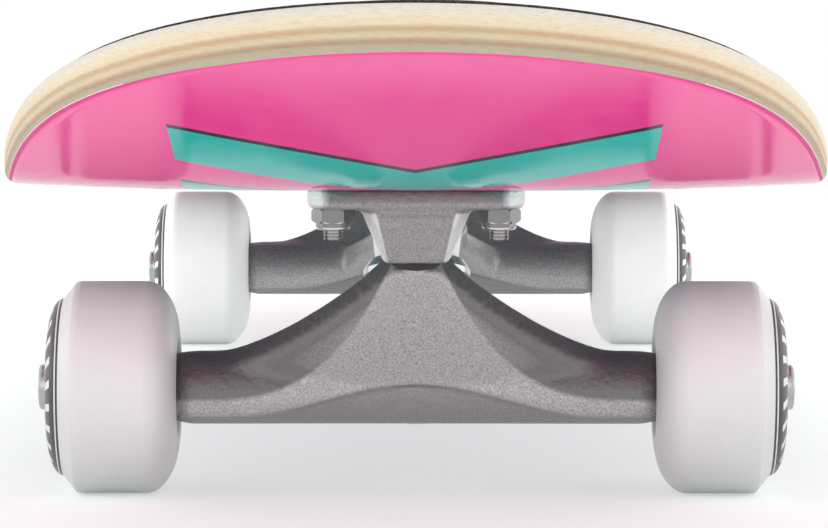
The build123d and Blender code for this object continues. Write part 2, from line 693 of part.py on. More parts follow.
def ball_places():
    return PolarLocations(BEARING_PITCH_RADIUS, BALL_COUNT)


def bearing_balls(side):
    ball = Sphere(ball_radius)
    return [along_axle(side, middle) * place * ball for middle in bearing_middles for place in ball_places()]


def bearing_cages(side):
    pocket = ball_radius + POCKET_CLEARANCE
    outer = BEARING_PITCH_RADIUS + CAGE_WALL
    cage = disc(outer, -CAGE_REACH, pocket + CAGE_BACK, BEARING_PITCH_RADIUS - CAGE_WALL)
    for place in ball_places():
        cage -= place * Sphere(pocket)
    return [along_axle(side, middle) * cage for middle in bearing_middles]


# Wheel
def wheel(side):
    half = WHEEL_WIDTH / 2
    tread = TREAD_WIDTH / 2
    radius = WHEEL_DIAMETER / 2
    seat = BEARING_DIAMETER / 2 + BEARING_SEAT_CLEARANCE
    lip = seat - HUB_LIP_HEIGHT
    shelf = SPACER_LENGTH / 2
    pocket_end = shelf + BEARING_WIDTH + BEARING_POCKET_LAND
    edges = [Line((radius, -tread), (radius, tread)), Line((lip, -shelf), (lip, shelf))]
    for hand in (-1, 1):
        shoulder_start = 0 if hand > 0 else -90
        edges.append(EllipticalCenterArc((HUB_FACE_RADIUS, hand * tread), radius - HUB_FACE_RADIUS,
                                         half - tread, start_angle=shoulder_start, arc_size=90))
        edges.append(Polyline(
            (HUB_FACE_RADIUS, hand * half),
            (HUB_MOUTH_RADIUS, hand * (half - HUB_EDGE)),
            (seat, hand * pocket_end),
            (seat, hand * shelf),
            (lip, hand * shelf),
        ))
    profile = Plane.XZ * make_face(edges)
    return [along_axle(side, wheel_middle) * revolve(profile, Axis.Z)]


# The nodes: fixed pieces once, then both trucks, then each wheel
def write(name, solids):
    export_step(Compound(children=[Compound(list(solid.solids())) for solid in solids]), f"parts/{name}.step")


def main():
    os.makedirs("parts", exist_ok=True)
    write("deck", [deck()])
    write("grip_tape", [grip_tape()])
    write("deck_bolts", deck_bolts())
    write("deck_nuts", deck_nuts())
    trucks = {
        "tail": Pos(0, tail_bolts + BOLT_SPACING_LONG / 2, underside) * Rot(0, 0, 180),
        "nose": Pos(0, nose_bolts - BOLT_SPACING_LONG / 2, underside),
    }
    truck_pieces = {
        "baseplate": [baseplate()],
        "pivot_cup": [pivot_cup()],
        "kingpin": [kingpin()],
        "kingpin_nut": [kingpin_nut()],
        "boardside_washer": [boardside_washer()],
        "roadside_washer": [roadside_washer()],
        "boardside_bushing": [boardside_bushing()],
        "roadside_bushing": [roadside_bushing()],
        "hanger": [hanger()],
        "axle": [axle()],
        "axle_nuts": axle_nuts(),
        "speed_washers": speed_washers(),
        "bearing_spacers": bearing_spacers(),
        "bearing_inner_races": bearing_inner_races(),
    }
    wheel_pieces = {
        "wheel": wheel,
        "bearing_outer_races": bearing_outer_races,
        "bearing_shields": bearing_shields,
        "bearing_balls": bearing_balls,
        "bearing_cages": bearing_cages,
    }
    for end, place in trucks.items():
        for name, solids in truck_pieces.items():
            write(f"{end}_{name}", [place * solid for solid in solids])
        facing = 1 if end == "nose" else -1
        for hand, side in (("left", -facing), ("right", facing)):
            for name, build in wheel_pieces.items():
                write(f"{end}_{hand}_{name}", [place * solid for solid in build(side)])


main()
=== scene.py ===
"""A street skateboard seen low from its tail: pressed deck, sand-cast trucks, white urethane wheels."""

import json
import math

import bmesh
import bpy
from mathutils import Matrix, Vector


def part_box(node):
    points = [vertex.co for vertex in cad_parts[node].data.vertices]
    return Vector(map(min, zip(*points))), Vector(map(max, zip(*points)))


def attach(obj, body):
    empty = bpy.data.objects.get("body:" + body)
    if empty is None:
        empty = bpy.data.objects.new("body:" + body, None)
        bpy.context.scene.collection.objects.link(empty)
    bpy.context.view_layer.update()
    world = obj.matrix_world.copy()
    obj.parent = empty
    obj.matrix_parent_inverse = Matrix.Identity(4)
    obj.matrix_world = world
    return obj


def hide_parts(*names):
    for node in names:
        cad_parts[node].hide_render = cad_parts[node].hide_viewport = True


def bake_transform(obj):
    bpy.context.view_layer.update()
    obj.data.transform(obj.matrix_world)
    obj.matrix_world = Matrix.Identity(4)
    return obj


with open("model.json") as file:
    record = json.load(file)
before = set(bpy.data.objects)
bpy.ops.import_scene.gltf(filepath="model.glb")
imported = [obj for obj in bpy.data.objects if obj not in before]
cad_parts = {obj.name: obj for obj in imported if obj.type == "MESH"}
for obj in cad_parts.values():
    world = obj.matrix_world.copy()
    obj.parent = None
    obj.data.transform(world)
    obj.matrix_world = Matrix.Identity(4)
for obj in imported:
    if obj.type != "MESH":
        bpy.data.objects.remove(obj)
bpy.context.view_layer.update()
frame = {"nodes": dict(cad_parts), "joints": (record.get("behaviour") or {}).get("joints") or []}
nodes = frame["nodes"]
joints = {joint["name"]: joint for joint in frame["joints"]}

ENDS = ("tail", "nose")
HANDS = ("left", "right")

# Deck, in metres
DECK_EDGE_RADIUS = 0.003
END_CURVE_LENGTH = 0.174
END_SHOULDER = 0.514
END_FULLNESS = 0.749
KICK_ANGLES = {"tail": math.radians(16.2), "nose": math.radians(12.4)}
KICK_LENGTHS = {"tail": 0.1607, "nose": 0.168}
BOLT_SPACING_LONG = 0.05398
BOLT_SPACING_WIDE = 0.04128
BEND_SETBACK = 0.0164
BEND_RADIUS = 0.1215
CONCAVE_FLAT_WIDTH = 0.062
CONCAVE_RISE = 0.002
LACQUER_WRAP = math.radians(14)
LACQUER_SIDE_LEVEL = 0.085
LACQUER_SIDE_START = 0.2
LACQUER_SIDE_FULL = 0.8
LACQUER_LINE = 0.012
LACQUER_LINE_START = 0.06
BOLT_HOLE_RADIUS = 0.00253
HEAD_SINK = 0.0008
HEAD_RADIUS = 0.00475

# Threads, from crest to crest
BOLT_PITCH = 0.0008
AXLE_PITCH = 0.00106

# Wheels
TREAD_WIDTH = 0.0175
HUB_FACE_RADIUS = 0.0132
HUB_MOUTH_RADIUS = 0.0124
HUB_EDGE = 0.0007
BEARING_SEAT_RADIUS = 0.01102
HUB_LIP_RADIUS = 0.00862
BEARING_SHELF = 0.005
POCKET_END = 0.0124
LABEL_INNER_RADIUS = 0.0142
LABEL_RADIUS = 0.0226
LABEL_SIDE_HALF = 0.0160
LABEL_EDGE_OFFSET = 0.0122
TREAD_ROUND = 0.0016

# Bushings, measured along the kingpin from the middle of the hanger's ring
KINGPIN_LEAN = math.radians(16)
RING_FACE = 0.0035
BUSHING_BORE = 0.00501
BUSHING_EDGE = 0.001
BUSHING_BULGE = 0.0005
BUSHING_STRAIGHT_SHARE = 0.25
BOARDSIDE_BUSHING = {"height": 0.012, "ring_radius": 0.012, "washer_radius": 0.012}
ROADSIDE_BUSHING = {"height": 0.010, "ring_radius": 0.012, "washer_radius": 0.0093}

# Castings
CASTING_VOXEL = 0.0007
CASTING_SMOOTHING = 5
WEB_SMOOTHING = 60
WEB_BLEND_LOW = 0.001
WEB_BLEND_HIGH = 0.032
WEB_BLEND_DEPTH = 0.024
WEB_BLEND_WIDTH = 0.062
WEB_BLEND_FADE = 0.004
ARCH_HALF_WIDTH = 0.047
ARCH_END = -0.0066
ARCH_MIDDLE = 0.0017
ARCH_LEDGE = 0.0009
ARCH_DEPTH = 0.13
BOSS_LOW = {"drop": 0.0187, "half": 0.0081, "bevel": 0.0008}
BOSS_HIGH = {"drop": 0.0065, "half": 0.0135, "bevel": 0.0040}
BOSS_BEVEL_DEPTH = 0.0045
BOSS_BEVEL_FADE = 0.014
FLANGE_DROP = 0.0053
FLANK_REACH = 0.056
FLANK_LOW = -0.0024
FLANK_RISE = 365.0
FLANK_POWER = 3.08
FLANK_SOFTNESS = 0.0006

# Numbers of the materials on one mesh
LACQUERED, PLY_EDGE, TOP_VENEER = range(3)
PLAIN, LABELLED = range(2)

# Fineness of the meshes
CURVE_STEPS = 56
STRAIGHT_STEPS = 64
FACE_RINGS = 13
FILLET_STEPS = 7
WALL_STEPS = 4
SPINE_HALF_WIDTH = 0.004
HOLE_SEGMENTS = 40
TURNED_SEGMENTS = 96
WHEEL_SEGMENTS = 160
WHEEL_CURVE_STEPS = 40
CHAMFER_SHARES = (0.04, 0.12, 0.25, 0.5, 0.75, 0.93)
BUSHING_STEPS = 14

# Colours, linear
PINK = (0.79, 0.027, 0.265)
TEAL = (0.0, 0.44, 0.39)
INK = (0.012, 0.012, 0.014)
LABEL_BLACK = (0.055, 0.055, 0.057)
CAST_GREY = (0.46, 0.46, 0.46)
# painted shade for the hanger's arms below the arched ledge
LOW_SHADE_GREY = (0.26, 0.26, 0.26)
NUT_GREY = (0.24, 0.24, 0.245)
# painted highlight for the baseplate's flanks and the nuts' sloping edges
HIGHLIGHT_GREY = (0.88, 0.88, 0.88)
# painted shade for the casting faces that turn up towards the deck
PAINTED_SHADE_GREY = (0.175, 0.175, 0.177)
URETHANE_WHITE = (0.86, 0.86, 0.85)
MAPLE = (0.84, 0.70, 0.52)
VENEER_GRAIN = (0.72, 0.56, 0.38)
PLY_GRAIN = (0.72, 0.56, 0.42)
PRIMER = (0.88, 0.60, 0.66)
WRAP_SHADE = 0.72
GRIT_DARK = (0.022, 0.022, 0.023)
GRIT_LIGHT = (0.085, 0.085, 0.088)
ZINC = (0.46, 0.465, 0.47)
KINGPIN_ZINC = (0.68, 0.68, 0.69)
BOLT_ZINC = (0.52, 0.52, 0.53)
PLAIN_STEEL = (0.62, 0.62, 0.63)
SHIELD_BLACK = (0.03, 0.03, 0.033)
CUP_BLACK = (0.018, 0.018, 0.02)
BUSHING_CREAM = (0.80, 0.79, 0.74)
CAGE_NYLON = (0.72, 0.68, 0.57)
# Ply colours from the underside up: the plies' own stripes, partly, and painted shade that makes the lower
# plies darker towards the rounded underside edge
PLY_AND_SHADE_STOPS = (
    (0.04, (0.42, 0.36, 0.26)),
    (0.13, (0.44, 0.38, 0.27)),
    (0.19, (0.42, 0.29, 0.19)),
    (0.24, (0.52, 0.37, 0.25)),
    (0.30, (0.70, 0.57, 0.38)),
    (0.36, (0.70, 0.56, 0.36)),
    (0.42, (0.62, 0.42, 0.26)),
    (0.47, (0.64, 0.44, 0.28)),
    (0.54, (0.84, 0.68, 0.47)),
    (0.68, (0.87, 0.74, 0.56)),
    (0.85, (0.89, 0.82, 0.71)),
)

# Printed and painted patterns
LABEL_BARS = 22
LABEL_SLANT = 0.5
LABEL_BAR_SHARE = 0.34
LABEL_BAR_MIDDLE = 0.55
LABEL_BAR_HALF = 0.17
LABEL_RING_MIDDLE = 0.12
LABEL_RING_HALF = 0.03
CHEVRON_PERIOD = 0.052
CHEVRON_SHARE = 0.6
CHEVRON_SLOPE = 0.75
CHEVRON_HALF_WIDTH = 0.056
CHEVRON_WIDE_HALF_WIDTH = 0.092
CHEVRON_WIDE_END = 0.24
CHEVRON_END = 0.30
CHEVRON_OUTLINE = 0.03

# Surface grain: scales per metre, depths in metres
NOISE_SPAN = (0.3, 0.7)
LACQUER_TINT_SCALE = 9
LACQUER_TINT_SPAN = (0.35, 0.7)
LACQUER_TINT_SHADE = 0.93
LACQUER_HAZE_SCALE = 160
LACQUER_HAZE_SPAN = (0.3, 0.75)
LACQUER_ROUGHNESS = (0.1, 0.16)
LACQUER_REFLECTION = 0.55
LACQUER_GRAIN_SCALE = (260, 14, 260)
LACQUER_GRAIN_DEPTH = 0.000012
PLY_WANDER_SCALE = 24
PLY_WANDER = 0.018
PLY_GRAIN_SCALE = (420, 420, 2600)
PLY_GRAIN_SPAN = (0.45, 0.75)
PLY_GRAIN_SHARE = 0.4
PLY_HAZE_SPAN = (0.3, 0.8)
PLY_ROUGHNESS = (0.42, 0.62)
PLY_GRAIN_DEPTH = 0.00008
VENEER_GRAIN_SCALE = (300, 9, 300)
VENEER_GRAIN_DEPTH = 0.00006
GRIT_SCALE = 1700
GRIT_SPREAD_SCALE = 900
GRIT_SPREAD_SPAN = (0.42, 0.72)
GRIT_GLINT_SCALE = 1400
GRIT_GLINT_SPAN = (0.5, 0.72)
GRIT_ROUGHNESS = (0.9, 0.35)
GRIT_DEPTH = 0.0004
CAST_METAL = 0.85
CAST_SPECKLE_SCALE = 2100
CAST_SHADES = ((0.36, 0.62), (0.5, 1.0), (0.64, 1.3))
CAST_PATCH_SCALE = 55
CAST_PATCH_SPAN = (0.3, 0.8)
CAST_PATCH_SHARE = 0.35
CAST_SPECKLE_SPAN = (0.3, 0.75)
CAST_ROUGHNESS = (0.56, 0.36)
SAND_SCALE = 1500
SAND_SHARE = 0.6
PIT_SCALE = 520
PIT_SHARE = 0.7
SAND_DEPTH = 0.00028
PLATE_SHADE_SPAN = (-0.16, 0.06)
PLATE_SHADE_SHARES = (0.45, 0.95)
PLATE_HIGHLIGHT_SPAN = (0.35, 0.62)
PLATE_HIGHLIGHT_SHARE = 0.9
HANGER_SHADE_SPAN = (-0.5, -0.3)
HANGER_SHADE_SHARE = 0.9
HANGER_OUTER_SPAN = (-0.3, 0.1)
HANGER_INNER_SHARE = 0.2
HANGER_LOW_SHADE_SPAN = (-0.0002, 0.0004)
HANGER_LOW_SHADE_SHARE = 0.75
STEEL_CLOUD_SCALE = 240
STEEL_DARK_SHADE = 0.9
STEEL_LIGHT_SHADE = 1.08
STEEL_ROUGHNESS_SHARES = (0.75, 1.35)
STEEL_GRAIN_SCALE = 1800
STEEL_GRAIN_DEPTH = 0.00002
NUT_HIGHLIGHT_SPAN = (0.15, 0.4)
NUT_ROUGHNESS = (0.14, 0.28)
THREAD_HAZE_SCALE = 500
THREAD_ROUGHNESS_SHARES = (0.8, 1.3)
THREAD_ROOT_PAINTED_SHADE = 0.45
THREAD_FLANK = 0.35
THREAD_DEPTH_SHARE = 0.6
URETHANE_CLOUD_SCALE = 60
URETHANE_SHADE = 0.955
URETHANE_HAZE_SCALE = 300
URETHANE_ROUGHNESS_SHARES = (0.85, 1.2)
URETHANE_GRAIN_SCALE = 900
URETHANE_GRAIN_DEPTH = 0.00005
SCATTER_DEPTH = 0.004
LABEL_SCUFF_SCALE = 700
LABEL_SCUFF_SPAN = (0.35, 0.8)
LABEL_SCUFF_SHADE = 1.6
LABEL_ROUGHNESS = (0.28, 0.42)
LABEL_GRAIN_DEPTH = 0.00004

# Studio
FLOOR_SIZE = 12.0
FLOOR_FADE = (0.62, 1.3)
FLOOR_WHITE = (0.78, 0.83, 0.815)
FLOOR_LIFT = 0.42
FLOOR_ROUGHNESS = 0.9
FLOOR_REFLECTION = 0.1
WORLD_LIGHT = 0.74
FRONT_TINT = (0.87, 1.0, 0.98)
SENSOR_WIDTH = 36
CAMERA_PLACE = (0.0036, -1.2813, 0.1346)
CAMERA_TILT = math.radians(90 - 4.086)
CAMERA_TURN = math.radians(0.226)
CAMERA_LENS = 182.8
OPEN_SPREAD = 180
REFLECTED_HEIGHT = 0.3
LAMPS = (
    {"name": "top_box", "place": (0.3, -0.2, 1.7), "target": (0, 0, 0), "size": (1.6, 1.6), "power": 2},
    {
        "name": "front_box",
        "place": (-0.5, -2.0, 0.55),
        "target": (0, -0.3, 0.05),
        "size": (1.6, 0.8),
        "power": 2,
        "tint": FRONT_TINT,
    },
    {"name": "back_box", "place": (0.5, 2.0, 0.45), "target": (0, 0.3, 0.05), "size": (2.0, 0.8), "power": 4},
    {
        "name": "low_strip",
        "place": (0, -1.7, 0.07),
        "target": (0, 0, 0.04),
        "size": (2.4, 0.12),
        "power": 4.6,
        "tint": FRONT_TINT,
    },
    {"name": "low_card", "place": (0, -0.4, 0.005), "target": (0, -0.4, 1), "size": (0.5, 0.2), "power": 0.3},
)
SIDE_LAMPS = (
    {"name": "side_box", "place": (1.2, 0.1, 0.25), "target": (0, 0.1, 0.03), "size": (1.4, 0.5), "power": 2},
    {
        "name": "under_box",
        "place": (0.95, -0.4, 0.05),
        "target": (0, 0.2, 0.03),
        "size": (0.3, 0.08),
        "power": 0.19,
        "spread": 30,
    },
)


# Shared helpers
class Finish:
    """A material whose nodes are added and wired with short calls."""

    def __init__(self, name, colour, roughness, metallic=0.0):
        self.material = bpy.data.materials.new(name)
        self.material.use_nodes = True
        self.tree = self.material.node_tree
        self.shader = self.tree.nodes["Principled BSDF"]
        self.coordinates = self.tree.nodes.new("ShaderNodeTexCoord")
        self.put(self.shader, {"Base Color": (*colour, 1), "Roughness": roughness, "Metallic": metallic})

    def put(self, node, values):
        for name, value in values.items():
            if isinstance(value, bpy.types.NodeSocket):
                self.tree.links.new(value, node.inputs[name])
            else:
                node.inputs[name].default_value = value
        return node

    def add(self, kind, values, **settings):
        node = self.tree.nodes.new("ShaderNode" + kind)
        for name, value in settings.items():
            setattr(node, name, value)
        return self.put(node, values)

    def place(self):
        return self.coordinates.outputs["Object"]

    def stretched(self, scale):
        return self.add("Mapping", {"Vector": self.place(), "Scale": scale}).outputs[0]

    def noise(self, scale, detail=4.0, roughness=0.5, vector=None):
        values = {"Vector": vector or self.place(), "Scale": scale, "Detail": detail, "Roughness": roughness}
        return self.add("TexNoise", values).outputs[0]

    def cells(self, scale, feature="F1"):
        return self.add("TexVoronoi", {"Vector": self.place(), "Scale": scale}, feature=feature).outputs[0]

    def calc(self, operation, first, second=0.0):
        return self.add("Math", {0: first, 1: second}, operation=operation).outputs[0]

    def part_of(self, value, low, high, to_low=0.0, to_high=1.0):
        values = {0: value, 1: low, 2: high, 3: to_low, 4: to_high}
        return self.add("MapRange", values).outputs[0]

    def ramp(self, value, stops):
        stops = list(stops)
        node = self.add("ValToRGB", {0: value})
        elements = node.color_ramp.elements
        while len(elements) < len(stops):
            elements.new(1.0)
        for element, (position, colour) in zip(elements, stops):
            element.position = position
            element.color = (*colour, 1)
        return node.outputs[0]

    def mix(self, share, first, second):
        colours = [c if isinstance(c, bpy.types.NodeSocket) else (*c, 1) for c in (first, second)]
        return self.add("Mix", {0: share, 6: colours[0], 7: colours[1]}, data_type="RGBA").outputs[2]

    def bump(self, height, depth):
        node = self.add("Bump", {"Height": height, "Strength": 1.0, "Distance": depth})
        self.put(self.shader, {"Normal": node.outputs[0]})

    def colour(self, value):
        self.put(self.shader, {"Base Color": value})

    def roughness(self, value):
        self.put(self.shader, {"Roughness": value})

    def axes(self):
        split = self.add("SeparateXYZ", {0: self.place()})
        return split.outputs[0], split.outputs[1], split.outputs[2]


def shaded(colour, factor):
    return [value * factor for value in colour]


def share_of(value, room):
    """How much of its room a value fills, from nought to one."""
    return min(max(value / room, 0.0), 1.0)


def new_piece(name, mesh, materials, body=None):
    piece = bpy.data.objects.new(name, mesh)
    bpy.context.scene.collection.objects.link(piece)
    for material in materials:
        mesh.materials.append(material)
    if body:
        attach(piece, body)
    return piece


def smooth(mesh):
    mesh.polygons.foreach_set("use_smooth", [True] * len(mesh.polygons))


def finished_copy(piece, name):
    """The piece's mesh with its modifiers applied."""
    bpy.context.view_layer.update()
    evaluated = piece.evaluated_get(bpy.context.evaluated_depsgraph_get())
    mesh = bpy.data.meshes.new_from_object(evaluated)
    mesh.name = name
    return mesh


def lathe(name, rows, placing, segments=TURNED_SEGMENTS):
    """A mesh turned from rows of radius, distance along the axis and material of the band that follows."""
    mesh = bpy.data.meshes.new(name)
    shape = bmesh.new()
    around = shape.loops.layers.uv.new("around")
    rings = []
    for radius, distance, _ in rows:
        angles = [2 * math.pi * step / segments for step in range(segments)]
        points = [(radius * math.cos(angle), radius * math.sin(angle), distance) for angle in angles]
        rings.append([shape.verts.new(point) for point in points])
    inked = [index for index, row in enumerate(rows) if row[2]] or [0]
    first, count = inked[0], len(inked)
    for index, (_, _, material) in enumerate(rows):
        near = rings[index]
        far = rings[(index + 1) % len(rings)]
        for step in range(segments):
            ahead = (step + 1) % segments
            face = shape.faces.new((near[step], near[ahead], far[ahead], far[step]))
            face.material_index = material
            face.smooth = True
            shares = ((step, index), (step + 1, index), (step + 1, index + 1), (step, index + 1))
            for loop, (turn, row) in zip(face.loops, shares):
                loop[around].uv = (turn / segments, (row - first) / count)
    bmesh.ops.recalc_face_normals(shape, faces=shape.faces)
    shape.transform(placing)
    shape.to_mesh(mesh)
    shape.free()
    return mesh


# Deck shape
deck_low, deck_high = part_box("deck")
half_width = deck_high.x
tips = {"tail": deck_low.y, "nose": deck_high.y}
outward = {"tail": -1, "nose": 1}
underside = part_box("tail_baseplate")[1].z
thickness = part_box("grip_tape")[0].z - underside
bolt_rows = {end: tips[end] - outward[end] * KICK_LENGTHS[end] for end in ENDS}
bends = {end: bolt_rows[end] + outward[end] * BEND_SETBACK for end in ENDS}
axle_height = sum(corner.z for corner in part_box("tail_axle")) / 2


def outline_point(end, share, inset):
    """A point on one quarter of the deck's plan outline, from the straight side to the tip."""
    hand = outward[end]
    side = half_width - inset
    tip = tips[end] - hand * inset
    length = END_CURVE_LENGTH - inset
    start = tip - hand * length
    shoulder = start + hand * END_SHOULDER * length
    corners = ((side, start), (side, shoulder), (END_FULLNESS * side, tip), (0.0, tip))
    rest = 1 - share
    weights = (rest**3, 3 * rest**2 * share, 3 * rest * share**2, share**3)
    x = sum(weight * corner[0] for weight, corner in zip(weights, corners))
    y = sum(weight * corner[1] for weight, corner in zip(weights, corners))
    return x, y


def pressed_height(x, y, level):
    """The height of a point of the pressed board that lies a given level above its underside."""
    flat = CONCAVE_FLAT_WIDTH / 2
    side = half_width - flat
    hollow = (side**2 + CONCAVE_RISE**2) / (2 * CONCAVE_RISE)
    reach = max(abs(x) - flat, 0.0)
    lift = hollow - math.sqrt((hollow - level) ** 2 - reach**2)
    end = "tail" if y < 0 else "nose"
    turn = KICK_ANGLES[end]
    run = (y - bends[end]) * outward[end]
    if run <= 0:
        return underside + lift
    if run <= (BEND_RADIUS - lift) * math.sin(turn):
        swing = math.asin(run / (BEND_RADIUS - lift))
        return underside + BEND_RADIUS - (BEND_RADIUS - lift) * math.cos(swing)
    along = (run - BEND_RADIUS * math.sin(turn) + lift * math.sin(turn)) / math.cos(turn)
    rise = BEND_RADIUS * (1 - math.cos(turn)) + along * math.sin(turn) + lift * math.cos(turn)
    return underside + rise


def deck_ring(inset, level):
    """The points of one closed loop round the deck, starting at the tail tip and going round by the right."""
    plan = []
    for end, shares in (("tail", range(CURVE_STEPS, -1, -1)), ("nose", range(CURVE_STEPS + 1))):
        quarter = [outline_point(end, share / CURVE_STEPS, inset) for share in shares]
        if end == "nose":
            last = plan[-1]
            first = quarter[0]
            for step in range(1, STRAIGHT_STEPS):
                plan.append((first[0], last[1] + (first[1] - last[1]) * step / STRAIGHT_STEPS))
        plan += quarter
    plan += [(-x, y) for x, y in reversed(plan[1:-1])]
    return [(x, y, pressed_height(x, y, level)) for x, y in plan]


def deck_mesh(name):
    """The board as loops from its underside, round the rim and in over the top.

    The value called ply holds each point's share of the thickness.
    """
    round_radius = DECK_EDGE_RADIUS
    room = half_width - SPINE_HALF_WIDTH - round_radius
    faces_in = [round_radius + room * (1 - step / FACE_RINGS) ** 2 for step in range(FACE_RINGS)]
    rows = [(inset, 0.0, LACQUERED) for inset in faces_in]
    for step in range(FILLET_STEPS + 1):
        angle = math.pi / 2 * step / FILLET_STEPS
        material = LACQUERED if angle < LACQUER_WRAP else PLY_EDGE
        rows.append((round_radius * (1 - math.sin(angle)), round_radius * (1 - math.cos(angle)), material))
    for step in range(1, WALL_STEPS):
        level = round_radius + (thickness - 2 * round_radius) * step / WALL_STEPS
        rows.append((0.0, level, PLY_EDGE))
    for step in range(FILLET_STEPS + 1):
        angle = math.pi / 2 * (1 - step / FILLET_STEPS)
        level = thickness - round_radius * (1 - math.cos(angle))
        material = PLY_EDGE if step < FILLET_STEPS else TOP_VENEER
        rows.append((round_radius * (1 - math.sin(angle)), level, material))
    rows += [(inset, thickness, TOP_VENEER) for inset in reversed(faces_in)]
    mesh = bpy.data.meshes.new(name)
    shape = bmesh.new()
    ply = shape.verts.layers.float.new("ply")
    loops = []
    for inset, level, _ in rows:
        loop = [shape.verts.new(point) for point in deck_ring(inset, level)]
        for vertex in loop:
            vertex[ply] = level / thickness
        loops.append(loop)
    count = len(loops[0])
    for near, far, (_, _, material) in zip(loops, loops[1:], rows):
        for step in range(count):
            ahead = (step + 1) % count
            shape.faces.new((near[step], near[ahead], far[ahead], far[step])).material_index = material
    for loop, material in ((loops[0], LACQUERED), (loops[-1], TOP_VENEER)):
        for step in range(count // 2):
            opposite = (loop[(count - step - 1) % count], loop[(count - step) % count])
            corners = dict.fromkeys((loop[step], loop[step + 1], *opposite))
            shape.faces.new(list(corners)).material_index = material
    bmesh.ops.recalc_face_normals(shape, faces=shape.faces)
    shape.to_mesh(mesh)
    shape.free()
    smooth(mesh)
    return mesh


def bolt_holes(name):
    """Solids that cut the countersunk bolt holes."""
    shape = bmesh.new()
    head_top = underside + thickness - HEAD_SINK
    profile = (
        (BOLT_HOLE_RADIUS, underside - thickness),
        (BOLT_HOLE_RADIUS, head_top - (HEAD_RADIUS - BOLT_HOLE_RADIUS)),
        (HEAD_RADIUS, head_top),
        (HEAD_RADIUS, head_top + thickness),
    )
    segments = HOLE_SEGMENTS
    for end in ENDS:
        for row in (0, 1):
            for side in (-1, 1):
                x = side * BOLT_SPACING_WIDE / 2
                y = bolt_rows[end] - outward[end] * row * BOLT_SPACING_LONG
                rings = []
                for radius, height in profile:
                    angles = [2 * math.pi * step / segments for step in range(segments)]
                    points = [(x + radius * math.cos(a), y + radius * math.sin(a), height) for a in angles]
                    rings.append([shape.verts.new(point) for point in points])
                for near, far in zip(rings, rings[1:]):
                    for step in range(segments):
                        ahead = (step + 1) % segments
                        shape.faces.new((near[step], near[ahead], far[ahead], far[step]))
                shape.faces.new(list(reversed(rings[0])))
                shape.faces.new(rings[-1])
    mesh = bpy.data.meshes.new(name)
    shape.to_mesh(mesh)
    shape.free()
    return mesh


# Finishes
def lacquer_finish():
    """Gloss pink with teal chevrons that point to the middle of the board."""
    finish = Finish("pink_lacquer", PINK, roughness=0.16)
    x, y, _ = finish.axes()
    across = finish.calc("ABSOLUTE", x)
    along = finish.calc("ABSOLUTE", y)
    bent = finish.calc("SUBTRACT", along, finish.calc("MULTIPLY", across, CHEVRON_SLOPE))
    phase = finish.calc("FRACT", finish.calc("DIVIDE", bent, CHEVRON_PERIOD))
    wide = finish.calc("LESS_THAN", along, CHEVRON_WIDE_END)
    room = finish.part_of(wide, 0.0, 1.0, CHEVRON_HALF_WIDTH, CHEVRON_WIDE_HALF_WIDTH)
    inside = finish.calc("LESS_THAN", across, room)
    inside = finish.calc("MULTIPLY", inside, finish.calc("LESS_THAN", bent, CHEVRON_END))
    fill = finish.calc("MULTIPLY", finish.calc("LESS_THAN", phase, CHEVRON_SHARE), inside)
    edge_gap = finish.calc("ABSOLUTE", finish.calc("SUBTRACT", phase, CHEVRON_SHARE))
    edge = finish.calc("LESS_THAN", edge_gap, CHEVRON_OUTLINE)
    line = finish.calc("MULTIPLY", edge, inside)
    tint = finish.noise(LACQUER_TINT_SCALE, detail=3)
    pink = finish.mix(finish.part_of(tint, *LACQUER_TINT_SPAN), PINK, shaded(PINK, LACQUER_TINT_SHADE))
    painted = finish.mix(fill, pink, TEAL)
    finish.colour(finish.mix(line, painted, INK))
    haze = finish.noise(LACQUER_HAZE_SCALE, detail=5)
    finish.roughness(finish.part_of(haze, *LACQUER_HAZE_SPAN, *LACQUER_ROUGHNESS))
    finish.put(finish.shader, {"Specular IOR Level": LACQUER_REFLECTION})
    grain = finish.noise(1, detail=4, roughness=0.6, vector=finish.stretched(LACQUER_GRAIN_SCALE))
    finish.bump(grain, LACQUER_GRAIN_DEPTH)
    return finish.material


def ply_finish():
    """Maple plies seen on edge; the lacquer of the underside runs further up the rim along the sides."""
    finish = Finish("maple_plies", MAPLE, roughness=0.55)
    level = finish.add("Attribute", {}, attribute_name="ply").outputs["Fac"]
    wander = finish.part_of(finish.noise(PLY_WANDER_SCALE, detail=2), 0.0, 1.0, -PLY_WANDER, PLY_WANDER)
    # the plies' stripes, with painted shade darker towards the underside
    plies = finish.ramp(finish.calc("ADD", level, wander), PLY_AND_SHADE_STOPS)
    grain = finish.noise(1, detail=5, roughness=0.65, vector=finish.stretched(PLY_GRAIN_SCALE))
    tinted = {0: 1.0, 6: plies, 7: (*PLY_GRAIN, 1)}
    darker = finish.add("Mix", tinted, data_type="RGBA", blend_type="MULTIPLY").outputs[2]
    wood = finish.mix(finish.part_of(grain, *PLY_GRAIN_SPAN, 0.0, PLY_GRAIN_SHARE), plies, darker)
    across = finish.calc("ABSOLUTE", finish.axes()[0])
    start, full = half_width * LACQUER_SIDE_START, half_width * LACQUER_SIDE_FULL
    reach = finish.part_of(across, start, full, 0.0, LACQUER_SIDE_LEVEL)
    lacquered = finish.calc("LESS_THAN", level, reach)
    under_line = finish.calc("LESS_THAN", level, finish.calc("ADD", reach, LACQUER_LINE))
    lined = finish.calc("MULTIPLY", under_line, finish.calc("GREATER_THAN", reach, LACQUER_LINE_START))
    primed = finish.mix(lined, wood, PRIMER)
    finish.colour(finish.mix(lacquered, primed, shaded(PINK, WRAP_SHADE)))
    finish.roughness(finish.part_of(grain, *PLY_HAZE_SPAN, *PLY_ROUGHNESS))
    finish.bump(grain, PLY_GRAIN_DEPTH)
    return finish.material


